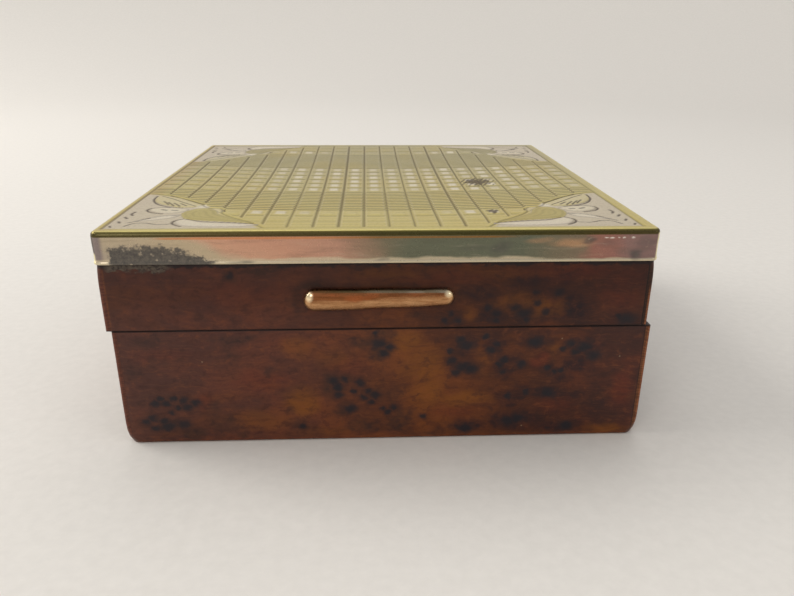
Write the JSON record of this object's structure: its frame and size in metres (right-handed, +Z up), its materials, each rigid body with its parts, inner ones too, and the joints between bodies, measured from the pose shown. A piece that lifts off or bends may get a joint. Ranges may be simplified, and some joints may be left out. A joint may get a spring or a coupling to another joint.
{
  "type": "hinged keepsake box",
  "caption": "Square burr-veneered wooden table box with a hinged lid, an engine-turned metal cap over the lid, a half-round thumb-piece and a cedar-lined inside.",
  "frame": {"origin": "middle of the flat underside of the base", "axes": "+Z up, +X to the right as the thumb-piece is faced, -Y toward the thumb-piece, hinge on the +Y side"},
  "size_m": [0.1106, 0.1114, 0.0464],
  "materials": {
    "burr_veneer": "satin lacquer over dark burr veneer",
    "carcass": "plain sawn and planed hardwood",
    "cedar": "unfinished cedar",
    "hinge_brass": "aged brass",
    "cap_metal": "gilt and silvered pressed brass, tarnished",
    "thumb_metal": "satin copper-coloured plate"
  },
  "bodies": {
    "base": {"base_floor": "carcass", "base_front": "carcass", "base_back": "carcass", "base_left": "carcass", "base_right": "carcass", "base_veneer_front": "burr_veneer", "base_veneer_back": "burr_veneer", "base_veneer_left": "burr_veneer", "base_veneer_right": "burr_veneer", "base_liner_floor": "cedar", "base_liner_front": "cedar", "base_liner_back": "cedar", "base_liner_left": "cedar", "base_liner_right": "cedar", "hinge_leaf_base": "hinge_brass", "hinge_pin": "hinge_brass", "hinge_screws_base": "hinge_brass"},
    "lid": {"lid_panel": "carcass", "lid_front": "carcass", "lid_back": "carcass", "lid_left": "carcass", "lid_right": "carcass", "lid_veneer_front": "burr_veneer", "lid_veneer_back": "burr_veneer", "lid_veneer_left": "burr_veneer", "lid_veneer_right": "burr_veneer", "lid_lining": "cedar", "lid_liner_front": "cedar", "lid_liner_back": "cedar", "lid_liner_left": "cedar", "lid_liner_right": "cedar", "hinge_leaf_lid": "hinge_brass", "hinge_screws_lid": "hinge_brass", "lid_cap": "cap_metal", "thumb_piece": "thumb_metal"}
  },
  "joints": [
    {"name": "lid_hinge", "type": "hinge", "parent": "base", "child": "lid", "pos_m": [0, 0.0524, 0.0259], "axis": [-1, 0, 0], "range_deg": [0, 95]}
  ]
}
